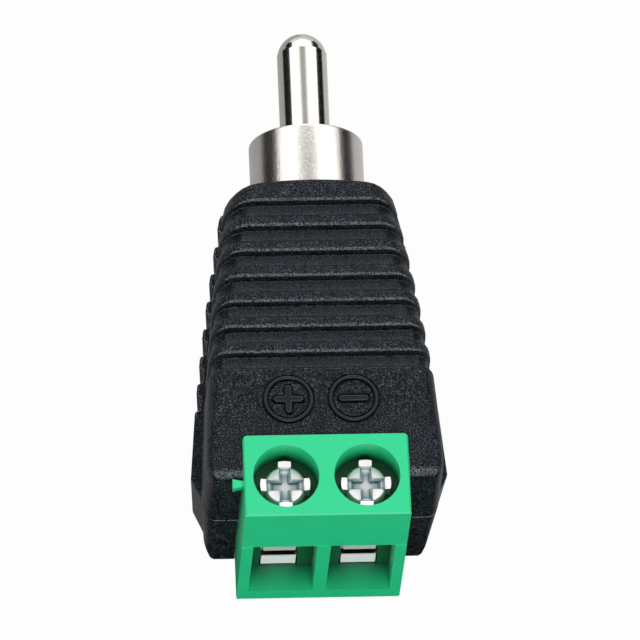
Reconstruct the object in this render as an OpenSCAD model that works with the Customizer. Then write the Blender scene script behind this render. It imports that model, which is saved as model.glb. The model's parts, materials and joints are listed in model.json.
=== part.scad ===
// Phono (RCA) plug to two-way screw terminal adaptor.
// A ribbed two-part moulded body carries a plug at its nose and a terminal block at its front.
// Frame: X across, Y along the plug with +Y out of the tip, Z up; the underside lies on Z = 0.
// The origin is below the middle of the whole length.

/* [Body] */
// Length of the moulded body, front face to nose
body_len = 21.2; // [20.8:0.05:23]
// Height of the body's flat top face
body_h = 14; // [13.8:0.1:14.8]
// Width of the body at its front face
front_w = 15.1; // [14.8:0.1:16.6]
// Width of the body at its nose
nose_w = 10.9; // [10.6:0.1:12.6]
// How much the sides bulge between front and nose; 1 is straight
side_bulge = 1.65; // [1:0.05:2.2]
// Height of the joint between the two shells, which is also the height of the plug's axis
seam_z = 6.8; // [6.7:0.05:7.1]
// Height of the nose's top above the plug's axis
nose_rise = 4.6; // [4.5:0.05:6]
// Depth of the nose's underside below the plug's axis
nose_drop = 5.3; // [5:0.05:6.5]
// Distance from the front face at which the top starts to slope down to the nose
top_flat = 7; // [6.8:0.1:9]
// Distance from the front face at which the underside starts to rise to the nose
foot_flat = 13; // [12.5:0.1:15]
// Inward lean of the upper shell's walls away from the joint, per unit of height
upper_draft = 0.01; // [0:0.01:0.06]
// Inward lean of the lower shell's walls away from the joint, per unit of height
lower_draft = 0.06; // [0:0.01:0.08]
// Width of the rounded corner at the front face
front_crown_w = 0.5; // [0.2:0.05:1]
// Height of the rounded corner at the front face
front_crown_h = 1; // [0.6:0.1:2]
// Width of the rounded corner at the nose
nose_crown_w = 2; // [1.6:0.1:2.4]
// Height of the rounded corner at the nose
nose_crown_h = 4.1; // [3.4:0.1:4.2]
// Radius of the front face's top edge
front_round = 0.7; // [0.3:0.05:0.8]
// Radius of the front face's bottom edge
sole_round = 0.3; // [0.2:0.05:0.6]
// Width of the front face's rounded upright corners
corner_w = 0.75; // [0.5:0.05:1]
// Length of the front face's rounded upright corners
corner_len = 1.5; // [1:0.05:1.55]
// Bevel on both shells along their joint
seam_chamfer = 0.12; // [0.06:0.01:0.2]
// How far the lower shell's side grips stand out at the front
grip_front = 0.74; // [0.3:0.02:0.9]
// How far the lower shell's side grips stand out at the nose
grip_nose = 0.2; // [0.05:0.01:0.3]
// Distance of the side grips from the front face
grip_start = 1.6; // [1.6:0.1:3]

/* [Ribs] */
// Number of grooves round the body
grooves = 7; // [5:1:7]
// Width of a groove
groove_w = 1.1; // [0.9:0.05:1.15]
// Depth of a groove in the top and the underside
groove_d = 0.8; // [0.4:0.05:0.85]
// Depth of a groove in the sides
groove_side = 0.22; // [0.1:0.02:0.4]
// Width of a rib
rib_w = 0.79; // [0.6:0.01:0.84]
// Length of the plain cap at the nose
cap_len = 1.28; // [1:0.02:1.4]
// Chamfer on the edges of the ribs
rib_edge = 0.15; // [0.08:0.01:0.2]

/* [Terminal block] */
// Distance between the two poles
pitch = 5.08; // [5:0.01:5.1]
// Width of the block
block_w = 10.4; // [10.3:0.05:10.8]
// Depth of the block, front to back
block_depth = 5.5; // [5.4:0.05:6]
// How far the block stands out of the body's front face
block_out = 2.8; // [2.6:0.05:3]
// How far the block's top stands above the body's top face
block_rise = 0.2; // [0.05:0.05:0.4]
// Height of the block's underside above the body's underside
block_foot = 0.3; // [0.2:0.05:0.4]
// Radius of the block's rear upright corners
block_corner = 0.3; // [0.2:0.05:0.6]
// Chamfer round the block's front face
block_edge = 0.1; // [0.06:0.02:0.3]
// Radius of the block's lower side corners
block_sole = 0.3; // [0.1:0.05:0.5]
// Diameter of a screw access hole
access_d = 4.15; // [3.8:0.05:4.3]
// Depth of a screw access hole
access_depth = 2.5; // [2.2:0.05:2.7]
// Width of a wire entry
entry_w = 4.05; // [3.8:0.05:4.1]
// Height of the solid front face above the wire entries
fascia_h = 5.25; // [5:0.05:5.4]
// How far the front face above the wire entries is set back
fascia_set = 0.08; // [0.04:0.01:0.1]
// Height of the sill below the wire entries
sill_h = 1.36; // [1.2:0.02:1.45]
// Depth of the wire entries in front of the clamps
entry_depth = 1.85; // [1.7:0.05:1.9]
// Distance between the middles of the two wire entries
entry_pitch = 4.9; // [4.85:0.01:5]
// How far the coding key stands out of the block's side
key_out = 0.7; // [0.4:0.05:0.9]

/* [Screws and clamps] */
// Diameter of a screw's head across its arms
head_d = 3.15; // [2.9:0.05:3.2]
// Height of a screw's head
head_h = 1.05; // [0.9:0.05:1.15]
// Diameter of a screw's shank
shank_d = 2.4; // [2.2:0.05:2.4]
// Width of the cross slot
slot_w = 0.68; // [0.6:0.02:0.8]
// Depth of the cross slot
slot_d = 0.55; // [0.4:0.05:0.65]
// Width of a clamp cage
cage_w = 3.3; // [3.2:0.05:3.35]
// Thickness of a clamp cage's side legs
cage_leg = 0.4; // [0.35:0.01:0.42]
// Width of a clamp's jaw
jaw_w = 2.2; // [1.9:0.05:2.25]
// Height of a clamp's jaw
jaw_h = 1.25; // [1.1:0.05:1.3]
// Open gap between a jaw and its contact bar in the stored position
jaw_gap = 0.85; // [0.8:0.05:0.95]
// Width of a contact bar
bar_w = 2.15; // [1.8:0.05:2.15]
// Thickness of a contact bar
bar_t = 0.9; // [0.7:0.05:1]

/* [Plug] */
// Diameter of the centre pin
pin_d = 3.2; // [3:0.02:3.3]
// How far the centre pin stands out of the nose
pin_out = 12.3; // [11.5:0.05:13.5]
// Height of the dome on the pin's tip
dome_h = 1.3; // [1.1:0.05:1.5]
// Outside diameter of the ground ring
ring_d = 7.3; // [7:0.05:7.6]
// Wall thickness of the ground ring
ring_wall = 0.4; // [0.3:0.02:0.5]
// How far the ground ring stands out of the nose
ring_out = 4.55; // [4:0.05:5.5]

/* [Clearances] */
// Radial play of a screw's shank in the block and in its cage
shank_play = 0.05; // [0.03:0.01:0.08]
// Play between a clamp cage and its chamber, each side
cage_play = 0.1; // [0.08:0.01:0.12]
// Play between a screw's head and the floor it turns on
head_play = 0.05; // [0.03:0.01:0.08]
// Radial play of the round plug pieces in their seats
plug_play = 0.06; // [0.04:0.01:0.1]

/* [Hidden] */
$fn = 64;
eps = 0.01;

// Lengthways, measured from the body's front face
block_front = -block_out;
block_back = block_front + block_depth;
tip_y = body_len + pin_out;
rim_y = body_len + ring_out;
y_mid = (tip_y + block_front) / 2;
ribs_y = body_len - cap_len - grooves * groove_w - (grooves - 1) * rib_w;
rib_pitch = groove_w + rib_w;

// Shell walls and the plug's seat in the nose
wall = 1.6;
shoulder = 1;
cavity_flare = 0.9;
flange_t = 1.2;
flange_step = 0.45;
flange_depth = 5.25;
gate_t = 0.9;
flange_r = ring_d / 2 + flange_step;
flange_y = body_len - flange_depth;
gate_y = flange_y - gate_t;
gate_r = ring_d / 2 - ring_wall;
disc_t = 1.2;
neck_r = 2.3;
ring_edge = 0.12;
// How far a cut runs past the face it opens
over = 1;

// Terminal block, from the screws' axis
screw_y = block_front + block_depth / 2;
block_top = body_h + block_rise;
floor_z = block_top - access_depth;
sill_z = block_foot + sill_h;
fascia_z = block_top - fascia_h;
well_floor = 0.5;
well_z = block_foot + well_floor;
chamber_rise = 0.5;
chamber_top = fascia_z + chamber_rise;
chamber_w = cage_w + 2 * cage_play;
nut_depth = 3.2;
nut_t = 1.8;
chamber_front = screw_y - nut_depth / 2 - cage_play;
chamber_back = screw_y + nut_depth / 2 + cage_play;
entry_back = block_front + entry_depth;
window_t = 0.45;
window_h = 4;
window_top = sill_z + window_h;
key_h = 1.1;
key_drop = 0.3;
key_y = -0.525;
key_root = 0.45;
key_tip = 0.85;

// Clamps
jaw_lift = 0.04;
jaw_z = sill_z + jaw_lift;
bar_z = jaw_z + jaw_h + jaw_gap;
nut_room = 1;
nut_z = chamber_top - nut_room - nut_t;
clamp_set = 0.02;
clamp_face = entry_back + clamp_set;
tip_gap = 0.95;
tail_w = 1.2;
tail_len = 3.3;
tail_y = block_back + tail_len;

// Screw heads
quad_in = 0.25;
arm_wall = 0.1;
slot_lip = 0.08;
slot_slope = 0.37;
shank_tip = 0.3;

// Wires
wire_r = 0.5;
stub_len = 1;
stub_r = 0.9;
collar_t = 0.6;
collar_out = 0.4;
waist_in = 0.3;
dome_in = 0.02;
pin_rear = gate_y - stub_len;
lug_w = 1.6;
lug_t = 0.5;
lug_in = 1;
lug_len = 2;
lug_z = seam_z + gate_r - lug_in;
lug_rear = gate_y - lug_len;

// Smallest corner, and the slopes of the grips' ends and of the groove walls
corner_min = 0.15;
grip_ramp = 1.3;
groove_slope = 0.08;

body_black = "#23262b";
block_green = "#35c98a";
zinc = "#c9d3d6";
tin = "#d9d9d6";
nickel = "#b9b6b0";

function mix(a, b, t) = a + (b - a) * t;
function side_at(y) = mix(front_w, nose_w, pow(y / body_len, side_bulge)) / 2;
function crown_w_at(y) = mix(front_crown_w, nose_crown_w, y / body_len);
function crown_h_at(y) = mix(front_crown_h, nose_crown_h, y / body_len);
function slope_at(y, start) = max(y - start, 0) / (body_len - start);
function rise_at(y) = mix(body_h - seam_z, nose_rise, slope_at(y, top_flat));
function drop_at(y) = mix(seam_z, nose_drop, slope_at(y, foot_flat));
function grip_at(y) =
  y > grip_start + grip_ramp / 2 ? mix(grip_front, grip_nose, y / body_len) : 0;

// One side of a half section of height h, from the joint round the corner to the flat face;
// the section is set in by side_in at the joint and by face_in at the flat face, and near the
// front face its foot is lifted off the joint, which leaves a fine line there
function corner_side(y, side_in, face_in, proud, h, draft) = let(
  a = crown_w_at(y) + proud,
  b = crown_h_at(y),
  w = side_at(y) + proud - side_in,
  foot = max(seam_chamfer / 2 - y, 0),
  lean = draft * (h - b),
  small_a = max(a - side_in, corner_min),
  small_b = max(b - face_in, corner_min)
) concat(
  [[w - seam_chamfer, foot], [w - draft * seam_chamfer, seam_chamfer]],
  [for (t = [0:15:90]) [w - lean - small_a + small_a * cos(t), h - face_in - small_b + small_b * sin(t)]]
);
function half_section(y, side_in, face_in, proud, h, draft) = let(
  side = corner_side(y, side_in, face_in, proud, h, draft),
  n = len(side)
) concat(side, [for (i = [n - 1:-1:0]) [-side[i][0], side[i][1]]]);

// Stations along the body: [distance, inset at the joint, inset at the flat face]
function front_in(y, r) = y < r ? r - sqrt(pow(r, 2) - pow(r - y, 2)) : 0;
function front_stations(r) = [
  for (t = [0:15:90]) let(y = corner_len * (1 - cos(t))) [y, corner_w * (1 - sin(t)), front_in(y, r)]
];
function groove_stations(y) = [
  [y - rib_edge, 0, 0],
  [y, rib_edge * groove_side / groove_d, rib_edge],
  [y + groove_slope, groove_side, groove_d],
  [y + groove_w - groove_slope, groove_side, groove_d],
  [y + groove_w, rib_edge * groove_side / groove_d, rib_edge],
  [y + groove_w + rib_edge, 0, 0]
];
function nose_stations() = [
  for (t = [0:45:90]) let(in = rib_edge * 2 * (1 - cos(t)))
    [body_len - rib_edge * 2 * (1 - sin(t)), in, in]
];
function stations(r) = concat(
  front_stations(r),
  [[grip_start, 0, 0], [grip_start + grip_ramp, 0, 0]],
  [for (g = [0:grooves - 1]) each groove_stations(ribs_y + g * rib_pitch)],
  nose_stations()
);

// A solid skinned over equal-length sections, each a closed list of points that runs
// anticlockwise as seen along +Y
module skin(sections) {
  n = len(sections[0]);
  m = len(sections);
  points = [for (s = sections) each s];
  ends = [
    [for (i = [n - 1:-1:0]) i],
    [for (i = [0:n - 1]) (m - 1) * n + i]
  ];
  sides = [
    for (k = [0:m - 2]) for (i = [0:n - 1]) let(
      a = k * n + i,
      b = k * n + (i + 1) % n
    ) each [[a, b + n, a + n], [a, b, b + n]]
  ];
  polyhedron(points = points, faces = concat(ends, sides), convexity = 12);
}

// Upper half of the ribbed body, standing on the joint at z = 0
module upper_half() {
  skin([
    for (s = stations(front_round)) let(h = rise_at(s[0]))
      [for (p = half_section(s[0], s[1], s[2], 0, h, upper_draft)) [p[0], s[0], p[1]]]
  ]);
}

// Lower half with its side grips, upside down on the joint at z = 0
module lower_half() {
  skin([
    for (s = stations(sole_round)) let(h = drop_at(s[0]), proud = grip_at(s[0]))
      [for (p = half_section(s[0], s[1], s[2], proud, h, lower_draft)) [p[0], s[0], p[1]]]
  ]);
}

// A tube swept along a list of points, with its end faces square to Y
module swept_wire(path, r) {
  ring = [for (t = [0:45:315]) [r * cos(t), r * sin(t)]];
  skin([for (p = path) [for (q = ring) [p[0] + q[0], p[1], p[2] + q[1]]]]);
}
function ease(t) = t * t * (3 - 2 * t);
function wire_path(a, b, n = 14) = [
  for (i = [0:n]) let(t = i / n) [
    mix(a[0], b[0], ease(t)), mix(a[1], b[1], t), mix(a[2], b[2], ease(t))
  ]
];

module placed() {
  translate([0, -y_mid, 0]) children();
}

// Turns a shape built along Z so that it stands on the plug's axis
module on_axis(y) {
  translate([0, y, seam_z]) rotate([-90, 0, 0]) children();
}

// Plan of the terminal block: square in front, rounded at the rear
module block_plan(corner) {
  h = block_w / 2;
  rear = [for (t = [0:15:90]) [h - corner + corner * cos(t), block_back - corner + corner * sin(t)]];
  polygon(concat(
    [[-h, block_front], [h, block_front]],
    rear,
    [for (i = [len(rear) - 1:-1:0]) [-rear[i][0], rear[i][1]]]
  ));
}

// Seat of the plug in the nose: rear gate, flange pocket and the ring's bore
module plug_seat() {
  start = gate_y - cavity_flare - over / 2;
  seat = flange_y - start;
  far = body_len + over - start;
  on_axis(start) rotate_extrude() polygon([
    [0, 0], [gate_r, 0], [gate_r, seat], [flange_r + plug_play, seat],
    [flange_r + plug_play, seat + flange_t], [ring_d / 2 + plug_play, seat + flange_t],
    [ring_d / 2 + plug_play, far], [0, far]
  ]);
}

// Everything taken out of both shells
module shell_hollows() {
  narrow = block_w / 2 - wall;
  bend = block_back + shoulder;
  flare = bend + cavity_flare;
  far = gate_y - cavity_flare;
  wide = side_at(flare) - groove_d - wall;
  rear = side_at(gate_y) - groove_d - wall;
  ceiling = seam_z + rise_at(gate_y) - groove_d - wall;
  translate([0, 0, -over]) linear_extrude(body_h + 2 * over) block_plan(block_corner * 0.75);
  translate([0, 0, wall]) linear_extrude(ceiling - wall) polygon([
    [-narrow, block_back - over], [narrow, block_back - over], [narrow, bend], [wide, flare],
    [rear, far], [-rear, far], [-wide, flare], [-narrow, bend]
  ]);
  plug_seat();
}

module upper_shell() {
  color(body_black) placed() difference() {
    translate([0, 0, seam_z]) upper_half();
    shell_hollows();
  }
}

module lower_shell() {
  color(body_black) placed() difference() {
    translate([0, 0, seam_z]) mirror([0, 0, 1]) lower_half();
    shell_hollows();
  }
}

// Outline of the block seen from its side, with the front edges bevelled and a step at the entries
module block_side() {
  e = block_edge;
  polygon([
    [block_front + e, block_foot], [block_back, block_foot], [block_back, block_top],
    [block_front + fascia_set + e, block_top], [block_front + fascia_set, block_top - e],
    [block_front + fascia_set, fascia_z], [block_front, fascia_z], [block_front, block_foot + e]
  ]);
}

// Outline of the block seen from its front, with bevelled upper corners and rounded lower ones
module block_face() {
  e = block_edge;
  r = block_sole;
  h = block_w / 2;
  low = [for (t = [0:30:90]) [h - r + r * sin(t), block_foot + r - r * cos(t)]];
  polygon(concat(
    low,
    [[h, block_top - e], [h - e, block_top], [-h + e, block_top], [-h, block_top - e]],
    [for (i = [len(low) - 1:-1:0]) [-low[i][0], low[i][1]]]
  ));
}

// Spaces for one pole: access hole, shank bore, wire entry, clamp chamber and bar slot
module pole_spaces(s) {
  x = s * pitch / 2;
  translate([x, screw_y, floor_z]) cylinder(d = access_d, h = access_depth + over);
  translate([x, screw_y, chamber_top - eps]) cylinder(d = shank_d + 2 * shank_play, h = floor_z);
  translate([s * entry_pitch / 2 - entry_w / 2, block_front - over, sill_z])
    cube([entry_w, entry_depth + over, fascia_z - sill_z]);
  translate([x - chamber_w / 2, chamber_front, window_top])
    cube([chamber_w, chamber_back - chamber_front, chamber_top - window_top]);
  translate([x - chamber_w / 2, entry_back + window_t, well_z])
    cube([chamber_w, chamber_back - entry_back - window_t, chamber_top - well_z]);
  translate([x - jaw_w / 2 - cage_play, entry_back - eps, well_z])
    cube([jaw_w + 2 * cage_play, window_t + 2 * eps, window_top - well_z + eps]);
  translate([x - bar_w / 2, chamber_back - eps, bar_z]) cube([bar_w, block_back, bar_t]);
}

module terminal_housing() {
  color(block_green) placed() {
    difference() {
      intersection() {
        linear_extrude(block_top) block_plan(block_corner);
        translate([block_w, 0, 0]) rotate([90, 0, -90]) mirror([1, 0, 0])
          linear_extrude(2 * block_w) block_side();
        translate([0, block_back, 0]) rotate([90, 0, 0]) linear_extrude(block_depth) block_face();
      }
      for (s = [-1, 1]) pole_spaces(s);
    }
    // Flared coding key on the left side, just in front of the body
    translate([-block_w / 2, key_y, block_top - key_drop - key_h]) linear_extrude(key_h) polygon([
      [eps, -key_root / 2], [eps, key_root / 2], [-key_out, key_tip / 2], [-key_out, -key_tip / 2]
    ]);
  }
}

// Cross slot with ends that slope up to the rim
module cross_slot(top) {
  lip = head_d / 2 - slot_lip;
  for (a = [0, 90]) rotate([0, 0, a]) translate([0, slot_w / 2, 0]) rotate([90, 0, 0])
    linear_extrude(slot_w) polygon([
      [-lip, top + eps], [-lip + slot_slope, top - slot_d],
      [lip - slot_slope, top - slot_d], [lip, top + eps]
    ]);
}

// Screw with a domed head, four raised arms round its cross slot, and a plain shank
module terminal_screw(s) {
  top = head_h;
  rim = head_d / 2;
  tip = bar_z + bar_t + tip_gap - floor_z - head_play;
  color(zinc) placed() translate([s * pitch / 2, screw_y, floor_z + head_play]) {
    difference() {
      union() {
        rotate_extrude() polygon([
          [0, tip], [shank_d / 2 - shank_tip, tip], [shank_d / 2, tip + shank_tip], [shank_d / 2, 0],
          [rim - quad_in, 0], [rim - quad_in, top * 0.35], [rim * 0.75, top * 0.72],
          [rim * 0.4, top * 0.9], [0, top * 0.95]
        ]);
        intersection() {
          cylinder(r = rim, h = top);
          union() {
            for (a = [0, 90]) rotate([0, 0, a])
              translate([-rim - eps, -slot_w / 2 - arm_wall, 0])
                cube([head_d + 2 * eps, slot_w + 2 * arm_wall, top]);
          }
        }
      }
      cross_slot(top);
    }
  }
}

// Rising cage: a threaded block above, two legs, and a jaw below the contact bar
module clamp_cage(s) {
  leg_front = entry_back + window_t + cage_play;
  leg_depth = screw_y + nut_depth / 2 - leg_front;
  color(tin) placed() translate([s * pitch / 2, 0, 0]) difference() {
    union() {
      translate([-cage_w / 2, screw_y - nut_depth / 2, nut_z]) cube([cage_w, nut_depth, nut_t]);
      for (e = [-1, 1]) translate([e * (cage_w - cage_leg) / 2 - cage_leg / 2, leg_front, jaw_z])
        cube([cage_leg, leg_depth, nut_z + nut_t - jaw_z]);
      translate([-cage_w / 2, leg_front, jaw_z]) cube([cage_w, leg_depth, jaw_h / 2]);
      translate([-jaw_w / 2, clamp_face, jaw_z])
        cube([jaw_w, leg_front + leg_depth - clamp_face, jaw_h]);
    }
    translate([0, screw_y, nut_z - over])
      cylinder(d = shank_d + 2 * shank_play, h = nut_t + 2 * over);
  }
}

// Fixed contact bar that the wire is clamped against, with a solder tail behind the block
module contact_bar(s) {
  color(tin) placed() translate([s * pitch / 2, 0, bar_z]) {
    translate([-bar_w / 2, clamp_face, 0]) cube([bar_w, block_back - clamp_face, bar_t]);
    translate([-tail_w / 2, block_back - eps, 0]) cube([tail_w, tail_y - block_back + eps, bar_t]);
  }
}

module terminal_screw_plus() { terminal_screw(-1); }
module terminal_screw_minus() { terminal_screw(1); }
module clamp_cage_plus() { clamp_cage(-1); }
module clamp_cage_minus() { clamp_cage(1); }
module contact_bar_plus() { contact_bar(-1); }
module contact_bar_minus() { contact_bar(1); }

// Ground ring: a tube with a closed base, a flange held by both shells and a solder lug
module ground_ring() {
  ro = ring_d / 2;
  ri = ro - ring_wall;
  base = flange_t;
  rim = rim_y - flange_y;
  color(nickel) placed() {
    on_axis(flange_y) rotate_extrude() polygon([
      [neck_r + plug_play, 0], [flange_r, 0], [flange_r, base], [ro, base],
      [ro, rim - ring_edge], [ro - ring_edge, rim], [ri + ring_edge, rim], [ri, rim - ring_edge],
      [ri, base], [neck_r + plug_play, base]
    ]);
    translate([-lug_w / 2, lug_rear, lug_z]) cube([lug_w, flange_y - lug_rear + eps, lug_t]);
  }
}

// Insulating bush between the ring and the pin
module insulator() {
  hole = pin_d / 2 - waist_in + plug_play;
  color("#1b1b1d") placed() on_axis(flange_y) rotate_extrude() polygon([
    [hole, 0], [neck_r, 0], [neck_r, flange_t],
    [ring_d / 2 - ring_wall - plug_play, flange_t],
    [ring_d / 2 - ring_wall - plug_play, flange_t + disc_t],
    [hole, flange_t + disc_t]
  ]);
}

// Centre pin: domed tip, shoulder on the bush, riveted collar and solder stub behind it
module centre_pin() {
  r = pin_d / 2;
  waist = r - waist_in;
  front = flange_y + flange_t + disc_t - pin_rear;
  collar = flange_y - pin_rear;
  dome_r = r - dome_in;
  length = tip_y - pin_rear;
  color(nickel) placed() on_axis(pin_rear) {
    rotate_extrude() polygon([
      [0, 0], [stub_r, 0], [stub_r, collar - collar_t], [r + collar_out, collar - collar_t],
      [r + collar_out, collar], [waist, collar], [waist, front], [r, front],
      [r, length - dome_h], [0, length - dome_h]
    ]);
    translate([0, 0, length - dome_r]) sphere(dome_r);
  }
}

// Wire from the positive bar's tail to the pin's solder stub
module signal_wire() {
  color("#b3332d") placed() swept_wire(
    wire_path([-pitch / 2, tail_y, bar_z + bar_t / 2], [0, pin_rear, seam_z]), wire_r
  );
}

// Wire from the negative bar's tail to the ring's solder lug
module ground_wire() {
  color("#26282b") placed() swept_wire(
    wire_path([pitch / 2, tail_y, bar_z + bar_t / 2], [0, lug_rear, lug_z + lug_t / 2]), wire_r
  );
}

upper_shell();
lower_shell();
terminal_housing();
terminal_screw_plus();
terminal_screw_minus();
clamp_cage_plus();
clamp_cage_minus();
contact_bar_plus();
contact_bar_minus();
ground_ring();
insulator();
centre_pin();
signal_wire();
ground_wire();
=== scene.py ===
# %% [markdown]
# # A phono plug with screw terminals
# The object is a small adaptor: a ribbed black body, a green two-way screw block at its front and a
# nickel-plated plug at its nose. The CAD model is loaded first, as a fixed frame in metres: X runs
# across, +Y out of the plug's tip and Z up, and the underside lies on Z = 0. Everything below dresses
# that frame, so its box is kept for a last comparison, and the main places are read from its nodes.

# %% Load the frame
import bpy, bmesh, json, math
from mathutils import Matrix, Vector

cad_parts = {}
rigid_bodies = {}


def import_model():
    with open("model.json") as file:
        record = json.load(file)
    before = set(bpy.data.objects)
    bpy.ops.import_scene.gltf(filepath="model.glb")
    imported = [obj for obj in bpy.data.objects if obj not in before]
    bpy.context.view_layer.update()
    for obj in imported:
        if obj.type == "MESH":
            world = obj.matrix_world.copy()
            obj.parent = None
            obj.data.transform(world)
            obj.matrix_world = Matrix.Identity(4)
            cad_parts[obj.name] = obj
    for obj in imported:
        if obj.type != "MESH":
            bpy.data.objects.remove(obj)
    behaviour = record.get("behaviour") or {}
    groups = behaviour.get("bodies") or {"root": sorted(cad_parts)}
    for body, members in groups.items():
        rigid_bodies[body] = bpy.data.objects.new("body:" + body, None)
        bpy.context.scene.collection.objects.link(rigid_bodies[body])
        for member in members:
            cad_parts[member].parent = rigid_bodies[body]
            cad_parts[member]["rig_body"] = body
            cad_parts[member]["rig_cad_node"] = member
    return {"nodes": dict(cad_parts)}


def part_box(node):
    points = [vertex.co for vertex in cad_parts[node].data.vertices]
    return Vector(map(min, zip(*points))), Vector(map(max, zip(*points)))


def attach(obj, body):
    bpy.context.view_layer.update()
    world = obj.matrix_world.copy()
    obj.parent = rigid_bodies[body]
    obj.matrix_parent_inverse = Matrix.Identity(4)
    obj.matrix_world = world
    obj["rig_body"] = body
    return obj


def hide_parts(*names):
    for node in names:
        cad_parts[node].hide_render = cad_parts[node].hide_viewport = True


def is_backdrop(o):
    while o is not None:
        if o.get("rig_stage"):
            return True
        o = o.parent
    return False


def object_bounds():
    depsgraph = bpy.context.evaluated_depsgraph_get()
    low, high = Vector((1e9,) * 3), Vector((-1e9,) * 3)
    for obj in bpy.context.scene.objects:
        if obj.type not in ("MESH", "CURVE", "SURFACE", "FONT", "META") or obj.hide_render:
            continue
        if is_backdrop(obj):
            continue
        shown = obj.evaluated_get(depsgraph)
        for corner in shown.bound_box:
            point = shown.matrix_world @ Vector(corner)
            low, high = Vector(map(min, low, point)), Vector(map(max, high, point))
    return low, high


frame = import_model()
cad_low, cad_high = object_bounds()
mm = 0.001                  # sizes are written in millimetres, and this makes them metres

def corners(node):
    """A CAD node's lowest and highest corners, in millimetres."""
    return [[round(v / mm, 3) for v in corner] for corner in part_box(node)]

body_low, body_high = corners("upper_shell")
front_face_y, nose_y = body_low[1], body_high[1]    # the body's two ends; lengths count from the front face
axis_z, top_z = body_low[2], body_high[2]           # the plug's axis, where the halves meet, and the top face
print("CAD box in mm:", [round((b - a) / mm, 2) for a, b in zip(cad_low, cad_high)])

# %% [markdown]
# ## Working as by hand
# Blender's operators act on whatever is selected, and the frame arrives selected. These helpers leave
# one object selected, open it for editing and close it again. Faces and edges are picked in code, by
# where they are, as a hand would click them.

# %% Selecting and editing
straight = 0.9              # a face whose normal has this much of a direction faces that way

def pick(piece):
    bpy.ops.object.select_all(action="DESELECT")
    piece.select_set(True)
    bpy.context.view_layer.objects.active = piece

def named(name):
    """Names the object that an operator has just made."""
    made = bpy.context.active_object
    made.name = made.data.name = name
    return made

def open_mesh(piece):
    pick(piece)
    bpy.ops.object.mode_set(mode="EDIT")
    bpy.ops.mesh.select_mode(type="VERT")
    bpy.ops.mesh.select_all(action="SELECT")

def close_mesh():
    bpy.ops.object.mode_set(mode="OBJECT")

def choose(piece, kind, test):
    """In edit mode, selects only the vertices, edges or faces that pass the test."""
    bpy.ops.mesh.select_mode(type={"verts": "VERT", "edges": "EDGE", "faces": "FACE"}[kind])
    bpy.ops.mesh.select_all(action="DESELECT")
    mesh = bmesh.from_edit_mesh(piece.data)
    chosen = [part for part in getattr(mesh, kind) if test(part)]
    for part in chosen:
        part.select_set(True)
    mesh.select_flush_mode()
    bmesh.update_edit_mesh(piece.data)

print("CAD nodes:", len(frame["nodes"]))

# %% [markdown]
# ## Finishing a mesh
# Modifiers do what a mould or a tumbling drum does: they round the sharp edges. A second one weights the
# normals, the directions that shading goes by, towards the larger faces, so that these stay flat to the
# eye. Carving joins, cuts or trims one piece with another, which is then thrown away.

# %% Modifiers
edge_angle = 35             # edges sharper than this are rounded, in degrees
weld = 0.0005               # points closer than this become one

def apply_modifier(piece, kind, **settings):
    pick(piece)
    made = piece.modifiers.new(kind.lower(), kind)
    for name, value in settings.items():
        setattr(made, name, value)
    bpy.ops.object.modifier_apply(modifier=made.name)

def apply_place(piece):
    pick(piece)
    bpy.ops.object.transform_apply(location=True, rotation=True, scale=True)

def smooth(piece, angle):
    pick(piece)
    bpy.ops.object.shade_smooth_by_angle(angle=math.radians(angle))
    apply_modifier(piece, "WEIGHTED_NORMAL", keep_sharp=True, weight=60)

def soften(piece, width, segments=3, angle=edge_angle):
    """Rounds the sharp edges a little and shades the rest smooth."""
    apply_modifier(piece, "BEVEL", width=width * mm, segments=segments, limit_method="ANGLE",
                   angle_limit=math.radians(angle), use_clamp_overlap=True)
    smooth(piece, angle)

def carve(piece, tool, way):
    apply_modifier(piece, "BOOLEAN", operation=way, object=tool, solver="EXACT")
    bpy.data.objects.remove(tool)

print("edges sharper than", edge_angle, "degrees are rounded")

# %% [markdown]
# ## The camera
# The photograph looks down on the adaptor from the terminal end with a long lens, turned a little to
# the left. Angles, distance and lens come from matching the corners of the model to the picture. The
# camera's own axes are worked out from yaw, elevation and roll, so that no helper object is needed.

# %% Camera
yaw, rise, roll = (math.radians(degrees) for degrees in (8.776, 66.678, 7.143))
aim = Vector((0.383, front_face_y + 13.133, 8)) * mm        # what the middle of the picture shows
distance = 705.19 * mm
focal_pixels, picture_pixels, sensor_width = 11105.25, 640, 36
back = Vector((-math.sin(yaw) * math.cos(rise), -math.cos(yaw) * math.cos(rise), math.sin(rise)))
level = Vector((math.cos(yaw), -math.sin(yaw), 0))
upright = back.cross(level)
right = math.cos(roll) * level + math.sin(roll) * upright
up = math.cos(roll) * upright - math.sin(roll) * level
turned = Matrix((right, up, back)).transposed().to_4x4()

scene = bpy.context.scene
camera = bpy.data.objects.new("camera", bpy.data.cameras.new("camera"))
scene.collection.objects.link(camera)
camera.matrix_world = Matrix.Translation(aim + distance * back) @ turned
camera.data.sensor_width = sensor_width
camera.data.lens = focal_pixels / picture_pixels * sensor_width
scene.camera = camera
print("camera at", [round(v, 3) for v in camera.location], "lens", round(camera.data.lens, 1))

# %% [markdown]
# ## Adding nodes
# Materials are graphs of nodes. One small function adds a node, sets it up and links it. Colours are
# written as the hex values a picture shows, and turned by the sRGB curve to the linear numbers that
# Blender mixes. The Mix node has several sockets of one name, so those go by number.

# %% Node and colour helpers
def connect(tree, node, links):
    for socket, source in links.items():
        tree.links.new(source, node.inputs[socket])

def add(tree, kind, settings=None, values=None, links=None):
    made = tree.nodes.new(kind)
    for name, value in (settings or {}).items():
        setattr(made, name, value)
    for socket, value in (values or {}).items():
        made.inputs[socket].default_value = value
    connect(tree, made, links or {})
    return made

times, larger = {"operation": "MULTIPLY"}, {"operation": "MAXIMUM"}
colours = {"data_type": "RGBA"}
number_a, number_b = 2, 3
colour_a, colour_b, colour_out = 6, 7, 2

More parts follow.
